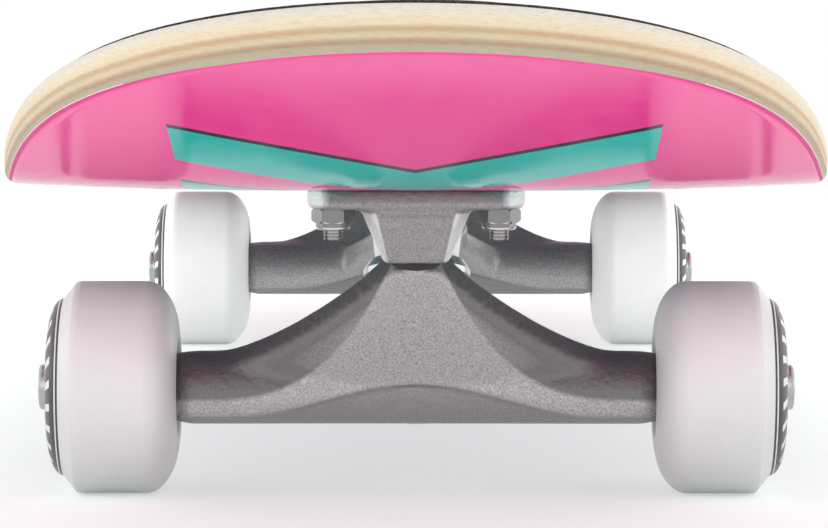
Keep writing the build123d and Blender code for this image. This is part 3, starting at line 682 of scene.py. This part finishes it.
def veneer_finish():
    finish = Finish("maple_top", MAPLE, roughness=0.5)
    grain = finish.noise(1, detail=6, roughness=0.6, vector=finish.stretched(VENEER_GRAIN_SCALE))
    finish.colour(finish.ramp(grain, zip(NOISE_SPAN, (VENEER_GRAIN, MAPLE))))
    finish.bump(grain, VENEER_GRAIN_DEPTH)
    return finish.material


def grip_finish():
    finish = Finish("grip_grit", GRIT_DARK, roughness=0.85)
    grit = finish.cells(GRIT_SCALE)
    spread = finish.noise(GRIT_SPREAD_SCALE, detail=3)
    finish.colour(finish.ramp(spread, zip(GRIT_SPREAD_SPAN, (GRIT_DARK, GRIT_LIGHT))))
    glint = finish.noise(GRIT_GLINT_SCALE, detail=2)
    finish.roughness(finish.part_of(glint, *GRIT_GLINT_SPAN, *GRIT_ROUGHNESS))
    finish.bump(finish.calc("ADD", grit, spread), GRIT_DEPTH)
    return finish.material


def casting_finish(name):
    """Sand-cast aluminium: the finish, its speckled grey, and the three parts of the way each face looks."""
    finish = Finish(name, CAST_GREY, roughness=0.45, metallic=CAST_METAL)
    mottle = finish.noise(CAST_SPECKLE_SCALE, detail=5, roughness=0.7)
    cloud = finish.noise(CAST_PATCH_SCALE, detail=3)
    patches = finish.part_of(cloud, *CAST_PATCH_SPAN, 0.0, CAST_PATCH_SHARE)
    mottled = finish.ramp(mottle, ((place, shaded(CAST_GREY, shade)) for place, shade in CAST_SHADES))
    speckle = finish.mix(patches, mottled, CAST_GREY)
    facing = finish.add("SeparateXYZ", {0: finish.coordinates.outputs["Normal"]})
    finish.roughness(finish.part_of(mottle, *CAST_SPECKLE_SPAN, *CAST_ROUGHNESS))
    sand = finish.calc("MULTIPLY", finish.noise(SAND_SCALE, detail=4, roughness=0.6), SAND_SHARE)
    pits = finish.calc("MULTIPLY", finish.cells(PIT_SCALE, "SMOOTH_F1"), PIT_SHARE)
    finish.bump(finish.calc("ADD", sand, pits), SAND_DEPTH)
    return finish, speckle, facing.outputs


def plate_finish():
    """The baseplate is darkened with painted shade, most on faces turned up, and has painted highlights on
    its flanks.
    """
    finish, speckle, facing = casting_finish("cast_plate")
    # painted shade, strongest on faces turned up towards the deck
    turned_up = finish.part_of(facing[2], *PLATE_SHADE_SPAN, *PLATE_SHADE_SHARES)
    shade_on_top = finish.mix(turned_up, speckle, PAINTED_SHADE_GREY)
    # painted highlight on faces turned partly sideways, such as the bevelled sides of the pivot boss
    flanks = finish.part_of(finish.calc("ABSOLUTE", facing[0]), *PLATE_HIGHLIGHT_SPAN, 0.0, PLATE_HIGHLIGHT_SHARE)
    finish.colour(finish.mix(flanks, shade_on_top, HIGHLIGHT_GREY))
    return finish.material


def hanger_finish():
    """The hanger keeps its speckled grey between the arched ledge on its arms and the crease along its
    flanks; above the crease, most on its outer side, and below the ledge it is darkened with painted shade.
    """
    finish, speckle, facing = casting_finish("cast_hanger")
    x, y, z = finish.axes()
    across = finish.calc("ABSOLUTE", x)
    height = finish.calc("SUBTRACT", z, axle_height)
    room = finish.calc("MAXIMUM", finish.calc("SUBTRACT", FLANK_REACH, across), 0.0)
    rise = finish.calc("MULTIPLY", finish.calc("POWER", room, FLANK_POWER), FLANK_RISE)
    crease = finish.calc("ADD", rise, FLANK_LOW)
    above = finish.part_of(finish.calc("SUBTRACT", height, crease), -FLANK_SOFTNESS, FLANK_SOFTNESS)
    # painted shade: above the crease, faces that do not face down are darkened as if shaded by the deck,
    # mostly on the outer side
    turned_up = finish.part_of(facing[2], *HANGER_SHADE_SPAN, 0.0, HANGER_SHADE_SHARE)
    outward_look = finish.calc("MULTIPLY", finish.calc("SIGN", y), facing[1])
    outer = finish.part_of(outward_look, *HANGER_OUTER_SPAN, HANGER_INNER_SHARE, 1.0)
    shade_under_deck = finish.calc("MULTIPLY", finish.calc("MULTIPLY", above, turned_up), outer)
    # painted shade: the arm below the arched ledge is darkened
    arch = finish.calc("COSINE", finish.part_of(across, 0.0, ARCH_HALF_WIDTH, 0.0, math.pi))
    ledge = finish.part_of(arch, -1.0, 1.0, ARCH_END, ARCH_MIDDLE)
    depth = finish.calc("SUBTRACT", ledge, height)
    below = finish.part_of(depth, *HANGER_LOW_SHADE_SPAN, 0.0, HANGER_LOW_SHADE_SHARE)
    shade_below_ledge = finish.mix(below, speckle, LOW_SHADE_GREY)
    finish.colour(finish.mix(shade_under_deck, shade_below_ledge, PAINTED_SHADE_GREY))
    return finish.material


def steel_finish(name, colour, roughness, metallic=1.0):
    finish = Finish(name, colour, roughness, metallic)
    cloud = finish.noise(STEEL_CLOUD_SCALE, detail=4)
    shades = (shaded(colour, STEEL_DARK_SHADE), shaded(colour, STEEL_LIGHT_SHADE))
    finish.colour(finish.ramp(cloud, zip(NOISE_SPAN, shades)))
    finish.roughness(finish.part_of(cloud, *NOISE_SPAN, *shaded(STEEL_ROUGHNESS_SHARES, roughness)))
    finish.bump(finish.noise(STEEL_GRAIN_SCALE, detail=3), STEEL_GRAIN_DEPTH)
    return finish.material


def nut_finish():
    """Dark plated flats, with a painted highlight on the sloping edges below them."""
    finish = Finish("nut_zinc", NUT_GREY, roughness=0.2, metallic=1.0)
    facing = finish.add("SeparateXYZ", {0: finish.coordinates.outputs["Normal"]}).outputs[2]
    # painted highlight on the faces that slope up or down
    edge_highlight = finish.part_of(finish.calc("ABSOLUTE", facing), *NUT_HIGHLIGHT_SPAN)
    finish.colour(finish.mix(edge_highlight, NUT_GREY, HIGHLIGHT_GREY))
    cloud = finish.noise(STEEL_CLOUD_SCALE, detail=4)
    finish.roughness(finish.part_of(cloud, *NOISE_SPAN, *NUT_ROUGHNESS))
    return finish.material


def threaded_finish(name, colour, pitch, direction, roughness):
    """Plated steel with a fine thread cut along a direction; the thread's roots are darkened with painted
    shade.
    """
    finish = Finish(name, colour, roughness, metallic=1.0)
    along = finish.add("VectorMath", {0: finish.place(), 1: direction}, operation="DOT_PRODUCT")
    turns = finish.calc("FRACT", finish.calc("DIVIDE", along.outputs["Value"], pitch))
    ridge = finish.calc("ABSOLUTE", finish.calc("SUBTRACT", turns, 0.5))
    # painted shade in the roots of the thread
    finish.colour(finish.ramp(ridge, ((0.0, shaded(colour, THREAD_ROOT_PAINTED_SHADE)), (THREAD_FLANK, colour))))
    haze = finish.noise(THREAD_HAZE_SCALE, detail=3)
    finish.roughness(finish.part_of(haze, *NOISE_SPAN, *shaded(THREAD_ROUGHNESS_SHARES, roughness)))
    finish.bump(ridge, pitch * THREAD_DEPTH_SHARE)
    return finish.material


def urethane_finish(name, colour, roughness, scatter=0.0):
    finish = Finish(name, colour, roughness)
    cloud = finish.noise(URETHANE_CLOUD_SCALE, detail=4)
    finish.colour(finish.ramp(cloud, zip(NOISE_SPAN, (shaded(colour, URETHANE_SHADE), colour))))
    haze = finish.noise(URETHANE_HAZE_SCALE, detail=4)
    finish.roughness(finish.part_of(haze, *NOISE_SPAN, *shaded(URETHANE_ROUGHNESS_SHARES, roughness)))
    finish.put(finish.shader, {"Subsurface Weight": scatter, "Subsurface Scale": SCATTER_DEPTH})
    finish.bump(finish.noise(URETHANE_GRAIN_SCALE, detail=4), URETHANE_GRAIN_DEPTH)
    return finish.material


def label_finish():
    """The dark label on the wheel's outer side, with a thin ring and a row of plain slanted bars."""
    finish = Finish("wheel_label", LABEL_BLACK, roughness=0.3)
    split = finish.add("SeparateXYZ", {0: finish.coordinates.outputs["UV"]})
    turn = finish.calc("MULTIPLY", split.outputs[0], LABEL_BARS)
    reach = split.outputs[1]
    slanted = finish.calc("ADD", turn, finish.calc("MULTIPLY", reach, LABEL_SLANT))
    bars = finish.calc("LESS_THAN", finish.calc("FRACT", slanted), LABEL_BAR_SHARE)
    from_bars = finish.calc("ABSOLUTE", finish.calc("SUBTRACT", reach, LABEL_BAR_MIDDLE))
    bars = finish.calc("MULTIPLY", bars, finish.calc("LESS_THAN", from_bars, LABEL_BAR_HALF))
    from_ring = finish.calc("ABSOLUTE", finish.calc("SUBTRACT", reach, LABEL_RING_MIDDLE))
    marks = finish.calc("MAXIMUM", bars, finish.calc("LESS_THAN", from_ring, LABEL_RING_HALF))
    scuff = finish.noise(LABEL_SCUFF_SCALE, detail=5, roughness=0.65)
    ink = finish.ramp(scuff, zip(LABEL_SCUFF_SPAN, (LABEL_BLACK, shaded(LABEL_BLACK, LABEL_SCUFF_SHADE))))
    finish.colour(finish.mix(marks, ink, URETHANE_WHITE))
    finish.roughness(finish.part_of(scuff, *NOISE_SPAN, *LABEL_ROUGHNESS))
    finish.bump(finish.noise(URETHANE_GRAIN_SCALE, detail=4), LABEL_GRAIN_DEPTH)
    return finish.material


finishes = {
    "hanger": hanger_finish(),
    "baseplate": plate_finish(),
    "nut": nut_finish(),
    "zinc": steel_finish("bright_zinc", ZINC, roughness=0.16),
    "races": steel_finish("bearing_steel", PLAIN_STEEL, roughness=0.2),
    "axle": threaded_finish("axle_steel", PLAIN_STEEL, AXLE_PITCH, (1, 0, 0), roughness=0.28),
    "bolts": threaded_finish("bolt_zinc", BOLT_ZINC, BOLT_PITCH, (0, 0, 1), roughness=0.22),
    "shield": steel_finish("black_shield", SHIELD_BLACK, roughness=0.35, metallic=0.6),
    "black_urethane": urethane_finish("black_urethane", CUP_BLACK, roughness=0.5),
    "bushing": urethane_finish("bushing_urethane", BUSHING_CREAM, roughness=0.42, scatter=0.15),
    "wheel": urethane_finish("wheel_urethane", URETHANE_WHITE, roughness=0.4, scatter=0.12),
    "label": label_finish(),
    "nylon": urethane_finish("cage_nylon", CAGE_NYLON, roughness=0.5),
    "grip": grip_finish(),
}


# Pieces that keep the shape of their solids
def dress(node, finish):
    mesh = nodes[node].data
    mesh.materials.clear()
    mesh.materials.append(finishes[finish])


TRUCK_FINISHES = {
    "pivot_cup": "black_urethane",
    "kingpin_nut": "zinc",
    "boardside_washer": "zinc",
    "roadside_washer": "zinc",
    "axle": "axle",
    "axle_nuts": "zinc",
    "speed_washers": "zinc",
    "bearing_spacers": "races",
    "bearing_inner_races": "races",
}
WHEEL_FINISHES = {
    "bearing_outer_races": "races",
    "bearing_shields": "shield",
    "bearing_balls": "races",
    "bearing_cages": "nylon",
}
dress("grip_tape", "grip")
dress("deck_bolts", "bolts")
dress("deck_nuts", "nut")
for end in ENDS:
    lean = (0, outward[end] * math.sin(KINGPIN_LEAN), -math.cos(KINGPIN_LEAN))
    zinc = threaded_finish(end + "_kingpin_zinc", KINGPIN_ZINC, AXLE_PITCH, lean, roughness=0.24)
    finishes[end + "_kingpin"] = zinc
    dress(end + "_kingpin", end + "_kingpin")
    for node, finish in TRUCK_FINISHES.items():
        dress(f"{end}_{node}", finish)
    for hand in HANDS:
        for node, finish in WHEEL_FINISHES.items():
            dress(f"{end}_{hand}_{node}", finish)

# Deck with its countersunk holes
blank = new_piece("deck_blank", deck_mesh("deck_blank"), (lacquer_finish(), ply_finish(), veneer_finish()))
cutter = new_piece("deck_cutter", bolt_holes("deck_cutter"), ())
drill = blank.modifiers.new("drill", "BOOLEAN")
drill.operation = "DIFFERENCE"
drill.object = cutter
deck = new_piece("pressed_deck", finished_copy(blank, "pressed_deck"), (), "board")
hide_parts("deck")
for helper in (blank, cutter):
    bpy.data.objects.remove(helper)


# Castings, softened as a sand mould leaves them
def web_share(point, axle):
    """How far a point lies in the band where the web of a hanger flows into its arms."""
    height = point.z - axle.z
    rising = share_of(height - WEB_BLEND_LOW, WEB_BLEND_FADE)
    falling = share_of(WEB_BLEND_HIGH - height, WEB_BLEND_FADE)
    inboard = share_of(WEB_BLEND_DEPTH - abs(point.y - axle.y), WEB_BLEND_FADE)
    central = share_of(WEB_BLEND_WIDTH - abs(point.x), WEB_BLEND_FADE)
    return rising * falling * inboard * central


def undercut(mesh, axle):
    """Below an arched ledge on its front and back the arm falls away a little."""
    for vertex in mesh.vertices:
        turn = math.pi * min(abs(vertex.co.x) / ARCH_HALF_WIDTH, 1.0)
        ledge = axle.z + ARCH_END + (ARCH_MIDDLE - ARCH_END) * (1 + math.cos(turn)) / 2
        below = share_of(ledge - vertex.co.z, ARCH_LEDGE)
        central = share_of(WEB_BLEND_WIDTH - abs(vertex.co.x), WEB_BLEND_FADE)
        away = vertex.co.y - axle.y
        if abs(away) < WEB_BLEND_DEPTH:
            vertex.co.y -= away * ARCH_DEPTH * below * central


def bevel_boss(mesh, low, high, front):
    """The pivot boss falls back along both sides of its front face, wider towards the flange."""
    for vertex in mesh.vertices:
        drop = high.z - vertex.co.z
        back = abs(vertex.co.y - front)
        if drop < FLANGE_DROP or back > BOSS_BEVEL_FADE:
            continue
        share = (drop - BOSS_LOW["drop"]) / (BOSS_HIGH["drop"] - BOSS_LOW["drop"])
        half = BOSS_LOW["half"] + (BOSS_HIGH["half"] - BOSS_LOW["half"]) * share
        bevel = BOSS_LOW["bevel"] + (BOSS_HIGH["bevel"] - BOSS_LOW["bevel"]) * share
        inset = share_of(abs(vertex.co.x) - half + bevel, bevel)
        below = share_of(drop - FLANGE_DROP, BOSS_HIGH["drop"] - FLANGE_DROP)
        fall = BOSS_BEVEL_DEPTH * inset * below * (1 - back / BOSS_BEVEL_FADE)
        vertex.co.y += math.copysign(fall, (low.y + high.y) / 2 - front)


def soft_casting(node, body, axle=None, front=None):
    rough = new_piece(node + "_rough", nodes[node].data.copy(), ())
    shell = rough.modifiers.new("shell", "REMESH")
    shell.mode = "VOXEL"
    shell.voxel_size = CASTING_VOXEL
    ease = rough.modifiers.new("ease", "SMOOTH")
    ease.iterations = CASTING_SMOOTHING
    if axle:
        rough.data = finished_copy(rough, node + "_shell")
        rough.modifiers.clear()
        group = rough.vertex_groups.new(name="web")
        for vertex in rough.data.vertices:
            share = web_share(vertex.co, axle)
            if share:
                group.add([vertex.index], share, "REPLACE")
        flow = rough.modifiers.new("flow", "SMOOTH")
        flow.iterations = WEB_SMOOTHING
        flow.vertex_group = "web"
        rough.data = finished_copy(rough, node + "_flowed")
        rough.modifiers.clear()
        undercut(rough.data, axle)
    else:
        rough.data = finished_copy(rough, node + "_shell")
        rough.modifiers.clear()
        bevel_boss(rough.data, *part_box(node), front)
    mesh = finished_copy(rough, node + "_casting")
    bpy.data.objects.remove(rough)
    mesh.materials.clear()
    smooth(mesh)
    casting = new_piece(node + "_casting", mesh, (finishes[node.split("_")[1]],), body)
    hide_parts(node)


for end in ENDS:
    axle_low, axle_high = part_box(end + "_axle")
    soft_casting(end + "_hanger", end + "_hanger_set", (axle_low + axle_high) / 2)
    plate_low, plate_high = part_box(end + "_baseplate")
    plate_front = plate_low.y if outward[end] < 0 else plate_high.y
    soft_casting(end + "_baseplate", "board", front=plate_front)


# Wheels
def hub_rows(face):
    """The bearing pocket, from the face of the hub in to the lip between the two bearings."""
    return [
        (HUB_FACE_RADIUS, face, PLAIN),
        (HUB_MOUTH_RADIUS, face - HUB_EDGE, PLAIN),
        (BEARING_SEAT_RADIUS, POCKET_END, PLAIN),
        (BEARING_SEAT_RADIUS, BEARING_SHELF, PLAIN),
        (HUB_LIP_RADIUS, BEARING_SHELF, PLAIN),
    ]


def wheel_rows(half, radius):
    """The turned profile: tread, the outer side with its label, the bore, and the rounder inner side."""
    tread = TREAD_WIDTH / 2
    angles = [math.pi / 2 * step / WHEEL_CURVE_STEPS for step in range(WHEEL_CURVE_STEPS + 1)]
    chamfer = (LABEL_RADIUS - radius, LABEL_EDGE_OFFSET - tread)
    outer = [(radius, tread - TREAD_ROUND, PLAIN)]
    for share in CHAMFER_SHARES:
        outer.append((radius + chamfer[0] * share, tread + chamfer[1] * share, PLAIN))
    for angle in angles:
        r = LABEL_INNER_RADIUS + (LABEL_RADIUS - LABEL_INNER_RADIUS) * math.cos(angle)
        dome = (LABEL_SIDE_HALF - LABEL_EDGE_OFFSET) * math.sin(angle)
        outer.append((r, LABEL_EDGE_OFFSET + dome, LABELLED if angle < angles[-1] else PLAIN))
    outer += hub_rows(LABEL_SIDE_HALF)
    inner = []
    for angle in angles:
        r = HUB_FACE_RADIUS + (radius - HUB_FACE_RADIUS) * math.cos(angle)
        inner.append((r, tread + (half - tread) * math.sin(angle), PLAIN))
    inner += hub_rows(half)[1:]
    return outer + [(r, -distance, PLAIN) for r, distance, _ in reversed(inner)]


for end in ENDS:
    for hand in HANDS:
        node = f"{end}_{hand}_wheel"
        low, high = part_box(node)
        centre = (low + high) / 2
        half = (high.x - low.x) / 2
        radius = (high.z - low.z) / 2
        side = -1 if hand == "left" else 1
        placing = Matrix.Translation(centre) @ Matrix.Rotation(side * math.pi / 2, 4, "Y")
        mesh = lathe(node + "_tyre", wheel_rows(half, radius), placing, WHEEL_SEGMENTS)
        tyre = new_piece(node + "_tyre", mesh, (finishes["wheel"], finishes["label"]), node + "_set")
        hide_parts(node)


# Bushings, bulging a little between ring and washer
def bushing_rows(height, ring_radius, washer_radius):
    edge = BUSHING_EDGE
    rows = [(BUSHING_BORE, 0.0, PLAIN), (ring_radius - BUSHING_BULGE - edge, 0.0, PLAIN)]
    for step in range(BUSHING_STEPS + 1):
        share = step / BUSHING_STEPS
        taper = max(0.0, share - BUSHING_STRAIGHT_SHARE) / (1 - BUSHING_STRAIGHT_SHARE)
        radius = ring_radius + (washer_radius - ring_radius) * taper
        radius -= BUSHING_BULGE * (2 * share - 1) ** 2
        rows.append((radius, edge + (height - 2 * edge) * share, PLAIN))
    rows += [(washer_radius - BUSHING_BULGE - edge, height, PLAIN), (BUSHING_BORE, height, PLAIN)]
    return rows


for end in ENDS:
    ring = Vector(joints[end + "_steer"]["pos_m"])
    down = Vector((0, outward[end] * math.sin(KINGPIN_LEAN), -math.cos(KINGPIN_LEAN)))
    for place, way, sizes in (("boardside", -1, BOARDSIDE_BUSHING), ("roadside", 1, ROADSIDE_BUSHING)):
        axis = down * way
        near = ring + axis * RING_FACE
        placing = Matrix.Translation(near) @ axis.to_track_quat("Z", "Y").to_matrix().to_4x4()
        name = f"{end}_{place}_bushing"
        mesh = lathe(name + "_cast", bushing_rows(**sizes), placing)
        bushing = new_piece(name + "_cast", mesh, (finishes["bushing"],))
        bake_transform(bushing)
        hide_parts(name)


# Studio
def floor():
    """A pale floor that keeps the shadow and fades out into the white all round."""
    mesh = bpy.data.meshes.new("floor")
    half = FLOOR_SIZE / 2
    corners = [(-half, -half, 0), (half, -half, 0), (half, half, 0), (-half, half, 0)]
    mesh.from_pydata(corners, [], [(0, 1, 2, 3)])
    finish = Finish("studio_floor", FLOOR_WHITE, FLOOR_ROUGHNESS)
    path = finish.add("LightPath", {}).outputs
    seen = finish.calc("MAXIMUM", path["Is Camera Ray"], path["Is Glossy Ray"])
    seen = finish.calc("MAXIMUM", seen, path["Is Transmission Ray"])
    lift = finish.calc("MULTIPLY", seen, FLOOR_LIFT)
    finish.put(finish.shader, {"Specular IOR Level": FLOOR_REFLECTION})
    finish.put(finish.shader, {"Emission Color": (1, 1, 1, 1), "Emission Strength": lift})
    distance = finish.add("VectorMath", {0: finish.place()}, operation="LENGTH").outputs["Value"]
    fade = finish.part_of(distance, *FLOOR_FADE)
    clear = finish.add("BsdfTransparent", {})
    blend = finish.add("MixShader", {0: fade, 1: finish.shader.outputs[0], 2: clear.outputs[0]})
    finish.put(finish.tree.nodes["Material Output"], {"Surface": blend.outputs[0]})
    return new_piece("floor", mesh, (finish.material,))


def softbox(name, place, target, size, power, spread=OPEN_SPREAD, tint=(1, 1, 1)):
    lamp = bpy.data.lights.new(name, "AREA")
    lamp.shape = "RECTANGLE"
    lamp.size, lamp.size_y = size
    lamp.energy = power
    lamp.color = tint
    lamp.spread = math.radians(spread)
    holder = bpy.data.objects.new(name, lamp)
    holder.location = place
    holder.rotation_euler = (Vector(target) - Vector(place)).to_track_quat("-Z", "Y").to_euler()
    holder.visible_camera = False
    holder.visible_glossy = spread == OPEN_SPREAD and size[1] > REFLECTED_HEIGHT
    bpy.context.scene.collection.objects.link(holder)


def white_world():
    """Soft light from all round; the eye and shiny faces see it as plain white."""
    world = bpy.data.worlds.new("studio")
    world.use_nodes = True
    tree = world.node_tree
    path = tree.nodes.new("ShaderNodeLightPath")
    seen = tree.nodes.new("ShaderNodeMath")
    seen.operation = "MAXIMUM"
    tree.links.new(path.outputs["Is Camera Ray"], seen.inputs[0])
    tree.links.new(path.outputs["Is Glossy Ray"], seen.inputs[1])
    also = tree.nodes.new("ShaderNodeMath")
    also.operation = "MAXIMUM"
    tree.links.new(seen.outputs[0], also.inputs[0])
    tree.links.new(path.outputs["Is Transmission Ray"], also.inputs[1])
    strength = tree.nodes.new("ShaderNodeMapRange")
    strength.inputs["To Min"].default_value = WORLD_LIGHT
    strength.inputs["To Max"].default_value = 1.0
    tree.links.new(also.outputs[0], strength.inputs["Value"])
    background = tree.nodes["Background"]
    background.inputs["Color"].default_value = (1, 1, 1, 1)
    tree.links.new(strength.outputs["Result"], background.inputs["Strength"])
    bpy.context.scene.world = world


floor()
white_world()
for lamp in LAMPS:
    softbox(**lamp)
for side in (-1, 1):
    for lamp in SIDE_LAMPS:
        softbox(**{**lamp, "place": (side * lamp["place"][0], *lamp["place"][1:])})

camera = bpy.data.objects.new("camera", bpy.data.cameras.new("camera"))
camera.location = CAMERA_PLACE
camera.rotation_euler = (CAMERA_TILT, 0, CAMERA_TURN)
camera.data.lens = CAMERA_LENS
camera.data.sensor_width = SENSOR_WIDTH
bpy.context.scene.collection.objects.link(camera)
bpy.context.scene.camera = camera
bpy.context.scene.view_settings.view_transform = "Standard"
